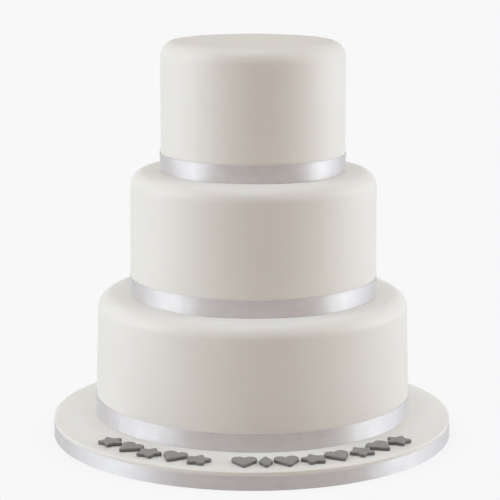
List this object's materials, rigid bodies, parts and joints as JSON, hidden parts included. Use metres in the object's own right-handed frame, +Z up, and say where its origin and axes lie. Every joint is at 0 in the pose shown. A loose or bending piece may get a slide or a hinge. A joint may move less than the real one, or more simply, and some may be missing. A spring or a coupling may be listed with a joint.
{
  "type": "tiered birthday cake",
  "caption": "Round tiered cake in smooth white sugarpaste with satin ribbon at each tier's foot, on a covered drum board with flat dark grey cut-outs along its front.",
  "frame": {"origin": "middle of the board's underside", "axes": "+Z up through the tiers, -Y towards the front edge where the cut-outs lie, +X to the right as seen from the front"},
  "size_m": [0.3302, 0.3302, 0.3233],
  "materials": {
    "white_sugarpaste": "smooth matte sugarpaste",
    "grey_sugarpaste": "matte rolled sugarpaste",
    "satin_ribbon": "silver satin",
    "board_foil": "embossed silver foil paper"
  },
  "bodies": {
    "root": {"board_drum": "board_foil", "board_icing": "white_sugarpaste", "board_ribbon": "satin_ribbon", "bottom_tier": "white_sugarpaste", "bottom_ribbon": "satin_ribbon", "middle_tier": "white_sugarpaste", "middle_ribbon": "satin_ribbon", "top_tier": "white_sugarpaste", "top_ribbon": "satin_ribbon", "cutout_01_star": "grey_sugarpaste", "cutout_02_heart": "grey_sugarpaste", "cutout_03_star": "grey_sugarpaste", "cutout_04_heart": "grey_sugarpaste", "cutout_05_star": "grey_sugarpaste", "cutout_06_heart": "grey_sugarpaste", "cutout_07_lozenge": "grey_sugarpaste", "cutout_08_heart": "grey_sugarpaste", "cutout_09_star": "grey_sugarpaste", "cutout_10_heart": "grey_sugarpaste", "cutout_11_star": "grey_sugarpaste", "cutout_12_heart": "grey_sugarpaste", "cutout_13_star": "grey_sugarpaste"}
  },
  "joints": []
}
